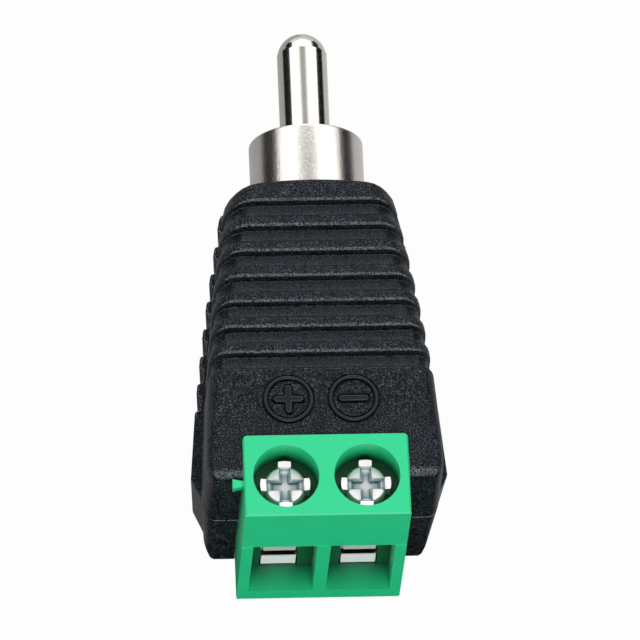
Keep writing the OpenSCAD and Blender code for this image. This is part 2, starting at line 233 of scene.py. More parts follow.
def linear(hex_colour):
    parts = [int(hex_colour[i:i + 2], 16) / 255 for i in (1, 3, 5)]
    return [p / 12.92 if p <= 0.04045 else ((p + 0.055) / 1.055) ** 2.4 for p in parts] + [1]

def new_finish(name):
    finish = bpy.data.materials.new(name)
    finish.use_nodes = True
    tree = finish.node_tree
    return finish, tree, tree.nodes["Principled BSDF"]

white = linear("#ffffff")
print("white is", white)

# %% [markdown]
# ## The studio: floor and room
# Product pictures like this one are taken on a white paper sweep. The floor shows white to the camera and
# to reflections, and keeps a faint shadow. The room does the same: it looks white, but lights the
# object only a little, so that the lamps do the work.

# %% Floor and world
floor_size, floor_drop = 4, 0.02            # metres across, and millimetres below the underside
floor_white, room_light = 0.975, 0.09       # how white the floor shows, and how much light the room gives

def seen_rays(tree):
    """One for rays that look at a thing, straight or by reflection, and nought for those that light it."""
    path = add(tree, "ShaderNodeLightPath").outputs
    seen = add(tree, "ShaderNodeMath", larger, {}, {0: path["Is Camera Ray"], 1: path["Is Glossy Ray"]})
    seen = add(tree, "ShaderNodeMath", larger, {}, {0: seen.outputs[0], 1: path["Is Transmission Ray"]})
    return seen.outputs[0]

scene.view_settings.view_transform = "Standard"
bpy.ops.object.select_all(action="DESELECT")
bpy.ops.mesh.primitive_plane_add(size=floor_size, location=(0, 0, -floor_drop * mm))
floor = named("floor")
paper, tree, sheet = new_finish("white_paper_sweep")
sheet.inputs["Base Color"].default_value = linear("#b0b0b0")
sheet.inputs["Roughness"].default_value = 0.9
sheet.inputs["Specular IOR Level"].default_value = 0
share = add(tree, "ShaderNodeMath", times, {1: floor_white}, {0: seen_rays(tree)}).outputs[0]
glow = add(tree, "ShaderNodeEmission", {}, {"Color": white, "Strength": 1})
both = add(tree, "ShaderNodeMixShader", {}, {}, {0: share, 1: sheet.outputs[0], 2: glow.outputs[0]})
connect(tree, tree.nodes["Material Output"], {"Surface": both.outputs[0]})
floor.data.materials.append(paper)
floor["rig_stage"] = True

world = bpy.data.worlds.new("studio")
scene.world = world
world.use_nodes = True
tree = world.node_tree
room = add(tree, "ShaderNodeBackground", {}, {"Color": white, "Strength": room_light})
bright = add(tree, "ShaderNodeBackground", {}, {"Color": white, "Strength": 1})
both = add(tree, "ShaderNodeMixShader", {}, {},
           {0: seen_rays(tree), 1: room.outputs[0], 2: bright.outputs[0]})
connect(tree, tree.nodes["World Output"], {"Surface": both.outputs[0]})
print("floor and world ready")

# %% [markdown]
# ## The studio: lamps and cards
# Four soft boxes stand round the object: one on each side, one behind and one in front. Polished metal
# shows what stands around it, so dark flags at the sides draw the black lines down the pin and the ring,
# and two pale sheets on the floor and a grey card overhead give the greys between. A third flag, on the
# floor in front, keeps the faces there from looking washed out. Cards are seen only by reflections, so
# they take no light away.

# %% Soft boxes and cards
def soft_box(name, place, size, watts):
    """A lamp that faces the origin; place and size are in metres."""
    bpy.ops.object.select_all(action="DESELECT")
    bpy.ops.object.light_add(type="AREA", location=place)
    box = named(name)
    box.data.shape = "RECTANGLE"
    box.data.size, box.data.size_y = size
    box.data.energy = watts
    box.rotation_euler = (-Vector(place)).to_track_quat("-Z", "Y").to_euler()

def card(name, place, size, shade, facing):
    """A card that only reflections see; place and size are in metres."""
    bpy.ops.object.select_all(action="DESELECT")
    bpy.ops.mesh.primitive_plane_add(size=1, location=place)
    board = named(name)
    board.scale = (*size, 1)
    board.rotation_euler = Vector(facing).to_track_quat("Z", "Y").to_euler()
    for ray in ("camera", "diffuse", "shadow", "transmission"):
        setattr(board, "visible_" + ray, False)
    finish, tree, unused = new_finish(name + "_board")
    tree.nodes.remove(unused)
    glow = add(tree, "ShaderNodeEmission", {}, {"Color": linear(shade), "Strength": 1})
    connect(tree, tree.nodes["Material Output"], {"Surface": glow.outputs[0]})
    board.data.materials.append(finish)
    board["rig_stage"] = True

soft_box("left_box", (-0.36, 0.14, 0.43), (0.42, 0.8), 1.2)
soft_box("right_box", (0.36, 0.14, 0.43), (0.42, 0.8), 1.2)
soft_box("back_box", (0.0, 0.52, 0.34), (0.7, 0.42), 2.2)
soft_box("front_box", (0.0, -0.58, 0.38), (0.5, 0.3), 3.15)
card("left_flag", (-0.032, 0.02, 0.0125), (0.1, 0.025), "#0c0c0c", (1, 0, 0))
card("right_flag", (0.032, 0.02, 0.0105), (0.1, 0.022), "#0c0c0c", (-1, 0, 0))
card("front_flag", (0.0, -0.029, 0.0001), (0.06, 0.029), "#0c0c0c", (0, 0, 1))
card("left_sheet", (-0.015, 0.023, 0.0001), (0.03, 0.075), "#bcbcbc", (0, 0, 1))
card("right_sheet", (0.015, 0.023, 0.0001), (0.03, 0.075), "#dcdcdc", (0, 0, 1))
card("overhead_card", (0.0, 0.26, 0.62), (0.40, 0.5), "#c4c4c4", (0, -0.26, -0.62))

# %% [markdown]
# ## Black body: moulded ABS
# The body is moulded in black ABS from a spark-eroded tool, which leaves a fine grain. To the eye it is
# a dull charcoal with tiny bluish glints, which are painted into the colour as painted highlights. A fine
# noise drives the painted glints and, later, the bump, and a coarse one makes them come and go in patches.

# %% Black ABS: grain and glints
grain_size, patch_size = 0.10, 1.1
body_black, tree, skin = new_finish("black_moulded_abs")
where = add(tree, "ShaderNodeTexCoord").outputs["Object"]
grain = add(tree, "ShaderNodeTexNoise", {},
            {"Scale": 1 / (grain_size * mm), "Detail": 5, "Roughness": 0.72},
            {"Vector": where}).outputs["Fac"]
patch = add(tree, "ShaderNodeTexNoise", {},
            {"Scale": 1 / (patch_size * mm), "Detail": 4, "Roughness": 0.6},
            {"Vector": where}).outputs["Fac"]
# painted glints: where the fine noise peaks, the colour is lifted to a bluish painted highlight
painted_glint = add(tree, "ShaderNodeMapRange", {}, {"From Min": 0.50, "From Max": 0.70},
            {"Value": grain}).outputs[0]
painted_glint = add(tree, "ShaderNodeMath", times, {}, {0: painted_glint, 1: patch}).outputs[0]
shade = add(tree, "ShaderNodeMix", colours,
            {colour_a: linear("#030405"), colour_b: linear("#8693a4")}, {0: painted_glint}).outputs[colour_out]
print("grain of", grain_size, "mm")

# %% [markdown]
# Handling rubs the edges of the ribs and of the front lighter, grain by grain, and the same lighter grey
# also paints highlights along them. An edge is found by comparing the face's direction with a rounded
# one. The shoulders that face forwards and up get a painted highlight.

# %% Black ABS: rubbed edges and painted highlights
edge_round = 0.14
grip_from, grip_full = front_face_y + 6.9, front_face_y + 7.3       # where the ribbed grip starts
lip_from, lip_full = front_face_y + 1.6, front_face_y + 0.9         # where the front edge starts
rounded = add(tree, "ShaderNodeBevel", {"samples": 8}, {"Radius": edge_round * mm}).outputs[0]
normal = add(tree, "ShaderNodeNewGeometry").outputs["Normal"]
bend = add(tree, "ShaderNodeVectorMath", {"operation": "DOT_PRODUCT"}, {},
           {0: rounded, 1: normal}).outputs["Value"]
edge = add(tree, "ShaderNodeMapRange", {}, {"From Min": 0.985, "From Max": 0.92},
           {"Value": bend}).outputs[0]
facing = add(tree, "ShaderNodeSeparateXYZ", {}, {}, {0: normal}).outputs
# painted highlight on the shoulders that face forwards and up
forward = add(tree, "ShaderNodeMapRange", {}, {"From Min": -0.2, "From Max": -0.5, "To Max": 0.34},
              {"Value": facing["Y"]}).outputs[0]
upward = add(tree, "ShaderNodeMapRange", {}, {"From Min": 0.25, "From Max": 0.5},
             {"Value": facing["Z"]}).outputs[0]
painted_shoulder_highlight = add(tree, "ShaderNodeMath", times, {}, {0: forward, 1: upward}).outputs[0]
edge = add(tree, "ShaderNodeMath", larger, {}, {0: edge, 1: painted_shoulder_highlight}).outputs[0]
rubbed_and_lit = add(tree, "ShaderNodeMapRange", {}, {"From Min": 0.42, "From Max": 0.56},
             {"Value": grain}).outputs[0]
wear_and_highlight = add(tree, "ShaderNodeMath", times, {}, {0: edge, 1: rubbed_and_lit}).outputs[0]
along = add(tree, "ShaderNodeSeparateXYZ", {}, {}, {0: where}).outputs["Y"]
on_grip = add(tree, "ShaderNodeMapRange", {}, {"From Min": grip_from * mm, "From Max": grip_full * mm},
              {"Value": along}).outputs[0]
at_front = add(tree, "ShaderNodeMapRange", {}, {"From Min": lip_from * mm, "From Max": lip_full * mm},
               {"Value": along}).outputs[0]
grip_and_lip_zone = add(tree, "ShaderNodeMath", larger, {}, {0: on_grip, 1: at_front}).outputs[0]
wear_and_highlight = add(tree, "ShaderNodeMath", times, {}, {0: wear_and_highlight, 1: grip_and_lip_zone}).outputs[0]
# the lighter grey is rubbed wear and a painted edge highlight in one
worn_and_highlighted = add(tree, "ShaderNodeMix", colours, {colour_b: linear("#a8b0ba")},
           {0: wear_and_highlight, colour_a: shade}).outputs[colour_out]
print("rubbed edges of", edge_round, "mm")

# %% [markdown]
# The floors of the grooves, level and closed in, get painted light: a paler grey laid over their shade.
# An occlusion node measures how closed in a point is. The grain then roughens the surface, and shines a
# little more on its peaks.

# %% Black ABS: painted floor light and surface
groove_reach, grain_high = 0.8, 0.04
nook = add(tree, "ShaderNodeAmbientOcclusion", {"samples": 8, "only_local": True},
           {"Distance": groove_reach * mm}).outputs["AO"]
sheltered = add(tree, "ShaderNodeMapRange", {}, {"From Min": 0.92, "From Max": 0.75},
                {"Value": nook}).outputs[0]
level_face = add(tree, "ShaderNodeMapRange", {}, {"From Min": 0.85, "From Max": 0.96},
                 {"Value": facing["Z"]}).outputs[0]
speck = add(tree, "ShaderNodeMapRange", {}, {"From Min": 0.40, "From Max": 0.62, "To Min": 0.2},
            {"Value": grain}).outputs[0]
# painted light: level floors of the grip's grooves, closed in and in shade, are lifted towards a pale grey
painted_floor_light = add(tree, "ShaderNodeMath", times, {}, {0: sheltered, 1: level_face}).outputs[0]
painted_floor_light = add(tree, "ShaderNodeMath", times, {}, {0: painted_floor_light, 1: on_grip}).outputs[0]
painted_floor_light = add(tree, "ShaderNodeMath", times, {}, {0: painted_floor_light, 1: speck}).outputs[0]
with_painted_floor_light = add(tree, "ShaderNodeMix", colours, {colour_b: linear("#5c626a")},
            {0: painted_floor_light, colour_a: worn_and_highlighted}).outputs[colour_out]
gloss = add(tree, "ShaderNodeMapRange", {},
            {"From Min": 0.3, "From Max": 0.7, "To Min": 0.50, "To Max": 0.36}, {"Value": grain}).outputs[0]
bump = add(tree, "ShaderNodeBump", {}, {"Strength": 0.7, "Distance": grain_high * mm},
           {"Height": grain}).outputs[0]
connect(tree, skin, {"Base Color": with_painted_floor_light, "Roughness": gloss, "Normal": bump})
skin.inputs["IOR"].default_value = 1.53
skin.inputs["Specular IOR Level"].default_value = 0.07
print("finish:", body_black.name)

# %% [markdown]
# ## Green block: moulded polyamide
# Terminal blocks are moulded in a flame-proof polyamide: a clean, bright green with a satin surface and
# the faintest orange peel. A coarse noise shifts the green a little from place to place, and a fine one
# makes the peel.

# %% Green polyamide: colour
cloud_size, peel_size = 2.2, 0.25
block_green, tree, skin = new_finish("green_moulded_polyamide")
where = add(tree, "ShaderNodeTexCoord").outputs["Object"]
cloud = add(tree, "ShaderNodeTexNoise", {}, {"Scale": 1 / (cloud_size * mm), "Detail": 3},
            {"Vector": where}).outputs["Fac"]
peel = add(tree, "ShaderNodeTexNoise", {}, {"Scale": 1 / (peel_size * mm), "Detail": 2},
           {"Vector": where}).outputs["Fac"]
shade = add(tree, "ShaderNodeMix", colours,
            {colour_a: linear("#18cb87"), colour_b: linear("#22d390")}, {0: cloud}).outputs[colour_out]
print("peel of", peel_size, "mm")

# %% [markdown]
# Deep in the screw holes and wire entries, shade is painted into the colour: the plastic turns a bottle
# green. An occlusion node finds the hollows, and the painted shade darkens there with depth: along Y in
# the entries, and along Z in the holes.

# %% Green polyamide: painted shade in the hollows, and surface
hole_reach, peel_high = 3, 0.02
entry_from, entry_full = front_face_y - 2.6, front_face_y - 1.0
hole_from, hole_full, hole_low = 14.1, 11.9, 10         # holes darken downwards, and lie above the last
nook = add(tree, "ShaderNodeAmbientOcclusion", {"samples": 12, "only_local": True},
           {"Distance": hole_reach * mm}).outputs["AO"]
closed_in = add(tree, "ShaderNodeMapRange", {}, {"From Min": 0.90, "From Max": 0.78},
                {"Value": nook}).outputs[0]
spot = add(tree, "ShaderNodeSeparateXYZ", {}, {}, {0: where}).outputs
entry_dark = add(tree, "ShaderNodeMapRange", {},
                 {"From Min": entry_from * mm, "From Max": entry_full * mm, "To Max": 0.93},
                 {"Value": spot["Y"]}).outputs[0]
hole_dark = add(tree, "ShaderNodeMapRange", {},
                {"From Min": hole_from * mm, "From Max": hole_full * mm, "To Max": 0.92},
                {"Value": spot["Z"]}).outputs[0]
in_hole = add(tree, "ShaderNodeMath", {"operation": "GREATER_THAN"}, {1: hole_low * mm},
              {0: spot["Z"]}).outputs[0]
depth = add(tree, "ShaderNodeMix", {}, {},
            {0: in_hole, number_a: entry_dark, number_b: hole_dark}).outputs[0]
# painted shade: the hollows darken to bottle green, more so the deeper they lie
painted_shade = add(tree, "ShaderNodeMath", times, {}, {0: closed_in, 1: depth}).outputs[0]
shade = add(tree, "ShaderNodeMix", colours, {colour_b: linear("#003d1c")},
            {0: painted_shade, colour_a: shade}).outputs[colour_out]
gloss = add(tree, "ShaderNodeMapRange", {}, {"To Min": 0.40, "To Max": 0.50}, {"Value": cloud}).outputs[0]
bump = add(tree, "ShaderNodeBump", {}, {"Strength": 0.10, "Distance": peel_high * mm},
           {"Height": peel}).outputs[0]
connect(tree, skin, {"Base Color": shade, "Roughness": gloss, "Normal": bump})
skin.inputs["IOR"].default_value = 1.53
skin.inputs["Specular IOR Level"].default_value = 0.45
print("finish:", block_green.name)

# %% [markdown]
# ## Plated metals
# There are five platings: polished nickel on the pin, satin nickel on the ring, bright zinc, bluish in
# its hollows, on the screws, bright tin on the clamps and a duller tin on the bars. The hollows of the
# zinc and of the clamps also get painted shade. They differ in tint and in how rough the metal was under
# the plating. The ring was tumbled, which leaves a fine even grain, and the tinned strip was rolled, so
# its scratches are long.

# %% Metals
haze_size, hollow_reach = 1.2, 0.9
gloss_spread, grit_high = 0.2, 0.25         # how far roughness varies, and a scratch's height to its width
even, rolled = (1, 1, 1), (1, 1, 0.1)       # how the grain is scaled: the smaller, the longer that way

def plated(name, tint, dark_tint, rough, grit, strength, stretch=even, metal=1, hollow_tint_and_shade=None):
    """Plated metal: grit is the width of a scratch in mm, strength is how much scratches show, metal is
    less than 1 where the plating looks milky, and hollow_tint_and_shade is the colour that hollows take
    on: painted shade, which on the zinc also carries the plating's bluish tint."""
    finish, tree, skin = new_finish(name)
    where = add(tree, "ShaderNodeTexCoord").outputs["Object"]
    laid = add(tree, "ShaderNodeMapping", {}, {"Scale": stretch}, {"Vector": where}).outputs[0]
    scratch = add(tree, "ShaderNodeTexNoise", {}, {"Scale": 1 / (grit * mm), "Detail": 2},
                  {"Vector": laid}).outputs["Fac"]
    haze = add(tree, "ShaderNodeTexNoise", {}, {"Scale": 1 / (haze_size * mm), "Detail": 4},
               {"Vector": where}).outputs["Fac"]
    shade = add(tree, "ShaderNodeMix", colours, {colour_a: linear(dark_tint), colour_b: linear(tint)},
                {0: haze}).outputs[colour_out]
    # painted shade in the hollows; on the zinc the darker colour is also the plating's bluish tint
    if hollow_tint_and_shade:
        nook = add(tree, "ShaderNodeAmbientOcclusion", {"samples": 12, "only_local": True},
                   {"Distance": hollow_reach * mm}).outputs["AO"]
        open_sky = add(tree, "ShaderNodeMapRange", {}, {"From Min": 0.54, "From Max": 0.82},
                       {"Value": nook}).outputs[0]
        shade = add(tree, "ShaderNodeMix", colours, {colour_a: linear(hollow_tint_and_shade)},
                    {0: open_sky, colour_b: shade}).outputs[colour_out]
    gloss = add(tree, "ShaderNodeMapRange", {},
                {"To Min": rough * (1 - gloss_spread), "To Max": rough * (1 + gloss_spread)},
                {"Value": scratch}).outputs[0]
    bump = add(tree, "ShaderNodeBump", {}, {"Strength": strength, "Distance": grit_high * grit * mm},
               {"Height": scratch}).outputs[0]
    connect(tree, skin, {"Base Color": shade, "Roughness": gloss, "Normal": bump})
    skin.inputs["Metallic"].default_value = metal
    print("finish:", name)
    return finish

pin_nickel = plated("polished_nickel_plate", "#d2cec8", "#c8c4be", rough=0.15, grit=0.3, strength=0.02)
ring_nickel = plated("satin_nickel_plate", "#d0ccc6", "#c4c0ba", rough=0.22, grit=0.10, strength=0.45)
# The zinc's faint pink is painted against the green light that the block throws on it.
screw_zinc = plated("bright_zinc_plate", "#fff6fb", "#fcf2f8", rough=0.32, grit=0.2, strength=0.05,
                    metal=0.4, hollow_tint_and_shade="#5f8791")
clamp_tin = plated("bright_tin_plate", "#fffafd", "#fbf6f9", rough=0.5, grit=0.08, strength=0.3,
                   stretch=rolled, metal=0, hollow_tint_and_shade="#10261a")
bar_tin = plated("dull_tin_plate", "#dcdad6", "#d0ceca", rough=0.5, grit=0.08, strength=0.2,
                 stretch=rolled, metal=0.2)

# %% [markdown]
# ## Plain plastics
# The bush inside the ring and the sleeves of the two inner wires are hardly seen, but they still get a
# moulded surface of their own. The plus and minus signs take the same kind of finish, polished.

# %% Plain plastics
fleck_size, fleck_high = 0.4, 0.02

def plain_plastic(name, light, dark, rough, shine=0.5):
    finish, tree, skin = new_finish(name)
    where = add(tree, "ShaderNodeTexCoord").outputs["Object"]
    cloud = add(tree, "ShaderNodeTexNoise", {}, {"Scale": 1 / (fleck_size * mm), "Detail": 3},
                {"Vector": where}).outputs["Fac"]
    shade = add(tree, "ShaderNodeMix", colours, {colour_a: linear(dark), colour_b: linear(light)},
                {0: cloud}).outputs[colour_out]
    bump = add(tree, "ShaderNodeBump", {}, {"Strength": 0.2, "Distance": fleck_high * mm},
               {"Height": cloud}).outputs[0]
    connect(tree, skin, {"Base Color": shade, "Normal": bump})
    skin.inputs["Roughness"].default_value = rough
    skin.inputs["Specular IOR Level"].default_value = shine
    print("finish:", name)
    return finish

bush_black = plain_plastic("black_moulded_acetal", "#1d1d1f", "#141416", rough=0.45)
sleeve_red = plain_plastic("red_pvc_sleeve", "#b4342e", "#a02a26", rough=0.5)
sign_black = plain_plastic("black_polished_abs", "#181b1f", "#111316", rough=0.24, shine=0.24)
sleeve_black = plain_plastic("black_pvc_sleeve", "#27292c", "#1d1f22", rough=0.5)

# %% [markdown]
# ## Dressing the CAD pieces
# The CAD solids have the right shapes, but knife-sharp edges and flat facets. A real moulding has tiny
# rounded edges that catch the light. Each visible solid is copied, its loose triangles are merged, flat
# faces are joined again, and the edges are rounded by about a tenth of a millimetre or less.

# %% Copies with finished edges
flat_angle = 0.6            # faces that differ by less than this are one face, in degrees

def coat(piece, finish):
    piece.data.materials.clear()
    piece.data.materials.append(finish)

def stand_for(piece, node, finish):
    """Gives a piece its finish, and lets it ride and stand for a CAD node."""
    coat(piece, finish)
    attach(piece, frame["nodes"][node]["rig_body"])
    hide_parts(node)
    print(piece.name, "faces:", len(piece.data.polygons))

def finished_copy(node, name, finish, width, segments=3, shaping=None):
    """Copies a CAD node, shapes it where a function for that is given, and rounds its edges."""
    pick(frame["nodes"][node])
    bpy.ops.object.duplicate()
    piece = named(name)
    piece.parent = None
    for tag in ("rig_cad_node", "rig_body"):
        del piece[tag]
    open_mesh(piece)
    bpy.ops.mesh.remove_doubles(threshold=weld * mm)
    bpy.ops.mesh.dissolve_limited(angle_limit=math.radians(flat_angle))
    close_mesh()
    if shaping:
        shaping(piece)
    soften(piece, width, segments)
    stand_for(piece, node, finish)
    return piece

print("faces within", flat_angle, "degrees are joined")

# %% [markdown]
# ## The two halves of the body
# The body is moulded in two halves that meet at the height of the plug's axis. Seen from above, the end
# face of the nose is bowed. The cap is cut into strips a millimetre wide, and the points near its end
# face are moved along a parabola, so that nothing else changes.

# %% Body halves
bow_out, bow_half, corner_fall = 0.32, 4.2, -0.1    # the middle's rise, where it ends, and the corners' fall
cap_long, face_zone = 0.9, 0.35                     # what is cut into strips, and what moves
strip_count = 4                                     # cuts on each side of the middle
body_edge = 0.05

def bow_nose(piece):
    """Bows the nose's end face in plan, so that its middle stands out a little."""
    open_mesh(piece)
    for x in range(-strip_count, strip_count + 1):
        choose(piece, "faces", lambda f: f.calc_center_median().y > (nose_y - cap_long) * mm)
        bpy.ops.mesh.bisect(plane_co=(x * mm, 0, 0), plane_no=(1, 0, 0))
    mesh = bmesh.from_edit_mesh(piece.data)
    for point in mesh.verts:
        if point.co.y > (nose_y - face_zone) * mm:
            point.co.y += max(corner_fall, bow_out * (1 - (point.co.x / (bow_half * mm)) ** 2)) * mm
    bmesh.update_edit_mesh(piece.data)
    close_mesh()

upper_half = finished_copy("upper_shell", "upper_half", body_black, body_edge,
                           shaping=bow_nose)
finished_copy("lower_shell", "lower_half", body_black, body_edge, shaping=bow_nose)

# %% [markdown]
# ## The green block
# The block's left side carries a small flared key, as blocks have that are slid together side by side. It
# is a slender fishtail, so the copy's key is shrunk towards its far upper corner.

# %% Block with its key
block_side_x = -corners("terminal_housing")[1][0]       # the left side, as far out as the right one
key_far_y, key_top_z = front_face_y - 0.1, 13.9
key_from_y, key_to_y = key_far_y - 0.9, key_far_y + 0.1
key_from_z, key_to_z = key_top_z - 1.2, key_top_z + 0.05
key_shrink = (1, 0.75, 0.5)
touch = 0.005               # a point this close to the side lies on it
block_edge, block_segments = 0.09, 4

def slim_key(piece):
    """Trims the coding key on the block's left side to a slender fishtail."""
    def on_key(point):
        x, y, z = point.co / mm
        return x < block_side_x + touch and key_from_y < y < key_to_y and key_from_z < z < key_to_z

    open_mesh(piece)
    choose(piece, "verts", on_key)
    bpy.ops.transform.resize(value=key_shrink, center_override=(0, key_far_y * mm, key_top_z * mm))
    close_mesh()

finished_copy("terminal_housing", "green_block", block_green, block_edge, block_segments,
              slim_key)

# %% [markdown]
# ## Clamps, bars, bush and wires
# Each clamp is folded from tinned strip, and its jaw shows a thin bright lip with a trough behind it,
# which a block carves. The bars that the wires are clamped against, and the bush between ring and pin,
# only get rounded edges. The two inner wires have the right shape already, so they stay, and only their
# finish is new.

# %% Clamps, bars, bush and wires
jaw_face_y, jaw_top_z = front_face_y - 0.93, 2.95
lip, trough_deep, trough_long, trough_wide = 0.09, 0.75, 0.5, 4
clamp_edge, bar_edge, bush_edge = 0.05, 0.12, 0.03

def hollow_jaw(piece):
    """Presses a trough across the jaw, behind a thin lip."""
    middle_x = sum(v.co.x for v in piece.data.vertices) / len(piece.data.vertices)
    middle_y = jaw_face_y + lip + trough_long / 2
    bpy.ops.object.select_all(action="DESELECT")
    bpy.ops.mesh.primitive_cube_add(size=1, location=(middle_x, middle_y * mm, jaw_top_z * mm))
    tool = named("trough")
    tool.scale = (trough_wide * mm, trough_long * mm, 2 * trough_deep * mm)
    apply_place(tool)
    carve(piece, tool, "DIFFERENCE")

for side in ("plus", "minus"):
    finished_copy("clamp_cage_" + side, side + "_clamp", clamp_tin, clamp_edge,
                  shaping=hollow_jaw)
    finished_copy("contact_bar_" + side, side + "_bar", bar_tin, bar_edge)
finished_copy("insulator", "bush", bush_black, bush_edge)
coat(frame["nodes"]["signal_wire"], sleeve_red)
coat(frame["nodes"]["ground_wire"], sleeve_black)

# %% [markdown]
# ## Turned pieces: ring and pin
# The ring and the pin are turned on a lathe, so they are made like that here: a profile is drawn point
# by point from a single vertex, and spun round the plug's axis. 128 steps keep the polish free of facets.

# %% Turning
spin_steps, turned_angle = 128, 30

def spun(name, profile, centre, along, outward):
    """Draws a profile of (distance along the axis, radius), in mm from centre, and spins it round."""
    points = [(Vector(centre) + a * Vector(along) + r * Vector(outward)) * mm for a, r in profile]
    bpy.ops.object.select_all(action="DESELECT")
    bpy.ops.mesh.primitive_plane_add(size=mm, location=points[0])
    piece = named(name)
    apply_place(piece)
    open_mesh(piece)
    bpy.ops.mesh.merge(type="CENTER")
    for here, there in zip(points, points[1:]):
        bpy.ops.mesh.extrude_region_move(TRANSFORM_OT_translate={"value": there - here})
    bpy.ops.mesh.select_all(action="SELECT")
    bpy.ops.mesh.spin(steps=spin_steps, angle=math.tau, center=Vector(centre) * mm, axis=along)
    bpy.ops.mesh.select_all(action="SELECT")
    bpy.ops.mesh.remove_doubles(threshold=weld * mm)
    bpy.ops.mesh.normals_make_consistent(inside=False)
    close_mesh()
    bpy.ops.object.shade_smooth_by_angle(angle=math.radians(turned_angle))
    return piece

def arc(along, radius, size, start, end, steps):
    """Points on a quarter round or a dome, angles in degrees from the axis."""
    angles = [math.radians(start + (end - start) * i / steps) for i in range(steps + 1)]
    return [(along + size * math.cos(a), radius + size * math.sin(a)) for a in angles]

plug_axis = {"centre": (0, front_face_y, axis_z), "along": (0, 1, 0), "outward": (0, 0, 1)}
print("plug axis at", plug_axis["centre"])

# %% [markdown]
# The ring has a flange that both halves of the body hold, with a hole for the bush, and a thin wall with
# both edges of its mouth rounded. The pin's lengths below count from the flange too.

# %% Ring
flange_y, flange_thick, flange_r, flange_hole = 15.95, 1.2, 4.1, 2.36
ring_r, bore_r, edge_r, edge_steps = 3.65, 3.25, 0.12, 5
rim_y = corners("ground_ring")[1][1] - front_face_y
wall_y = flange_y + flange_thick
ring_profile = ([(flange_y, flange_hole), (flange_y, flange_r), (wall_y, flange_r), (wall_y, ring_r)]
                + arc(rim_y - edge_r, ring_r - edge_r, edge_r, 90, 0, edge_steps)
                + arc(rim_y - edge_r, bore_r + edge_r, edge_r, 0, -90, edge_steps)
                + [(wall_y, bore_r), (wall_y, flange_hole), (flange_y, flange_hole)])
stand_for(spun("earth_ring", ring_profile, **plug_axis), "ground_ring", ring_nickel)

# %% [markdown]
# The pin starts as a stub for the solder, with a collar behind the bush and a neck through it, and ends
# in a dome. A narrow bevel leads into the dome, and a ring of points just below it keeps the straight
# part's shine straight.

# %% Pin
pin_low, pin_high = corners("centre_pin")
stub_y, tip_y = pin_low[1] - front_face_y, pin_high[1] - front_face_y
stub_r, collar_r, neck_r, pin_r = 0.9, 2, 1.3, 1.6
collar_y, neck_end_y = flange_y - 0.6, flange_y + 2.4
dome_r, dome_high, dome_steps = 1.58, 1.3, 16
bevel_long, support_long = 0.10, 0.14
dome_from = math.degrees(math.acos((dome_r - dome_high) / dome_r))
pin_profile = ([(stub_y, 0), (stub_y, stub_r), (collar_y, stub_r), (collar_y, collar_r),
                (flange_y, collar_r), (flange_y, neck_r), (neck_end_y, neck_r), (neck_end_y, pin_r),
                (tip_y - dome_high - support_long, pin_r), (tip_y - dome_high - bevel_long, pin_r)]
               + arc(tip_y - dome_r, 0, dome_r, dome_from, 0, dome_steps))
stand_for(spun("tip_pin", pin_profile, **plug_axis), "centre_pin", pin_nickel)

# %% [markdown]
# ## Terminal screws
# The screws are cold-headed: a low domed head whose cross recess runs out through four tabs that stand
# beyond the dome, so that a flat blade finds them too. The dome and shank are spun, the tabs are bars
# trimmed round, and the recess is carved with wedges that are narrower below: a deep one for the blade,
# and a wider one that opens its mouth.

# %% Wedges
screw_low, screw_high = corners("terminal_screw_plus")
pole_x, screw_y = (round((screw_low[i] + screw_high[i]) / 2, 3) for i in (0, 1))
head_z = 11.75              # the head's seat

def wedge(size_low, size_high, z_low, z_high, turn):
    """A block from z_low to z_high above the head's seat, with its own length and width below and above."""
    middle_z = head_z + (z_low + z_high) / 2
    bpy.ops.object.select_all(action="DESELECT")
    bpy.ops.mesh.primitive_cube_add(size=1, location=(pole_x * mm, screw_y * mm, middle_z * mm))
    tool = named("wedge")
    tool.scale = (size_high[0] * mm, size_high[1] * mm, (z_high - z_low) * mm)
    tool.rotation_euler = (0, 0, math.radians(turn))
    apply_place(tool)
    open_mesh(tool)
    choose(tool, "faces", lambda f: f.normal.z < -straight)
    ratio = (size_low[0] / size_high[0], size_low[1] / size_high[1])
    ratio = ratio if turn == 0 else ratio[::-1]
    bpy.ops.transform.resize(value=(*ratio, 1), center_override=(pole_x * mm, screw_y * mm, 0))
    close_mesh()
    return tool

print("plus screw at", pole_x, screw_y)

# %% Screws
upright_axis = {"along": (0, 0, 1), "outward": (1, 0, 0)}
head_profile = [(-6.1, 0), (-6.1, 0.9), (-5.8, 1.2), (0, 1.2), (0, 1.32), (0.58, 1.32), (0.68, 1.30),
                (0.76, 1.26), (0.85, 1.19), (0.905, 1.02), (0.925, 0.7), (0.93, 0.2), (0.935, 0)]
tab_r, trim_lift = 1.57, 0.02
trim_profile = [(-1, 0), (-1, tab_r), (1.01, tab_r), (0.66, 0)]
tab_bar = ((3.3, 0.86), (3.3, 0.80), 0.1, 1.06)         # length and width below and above, and the heights
blade_slot = ((1.46, 0.40), (2.74, 0.70), 0.48, 1.12)
slot_mouth = ((2.1, 0.52), (2.58, 1.0), 0.70, 1.12)
carved_weld = 0.002

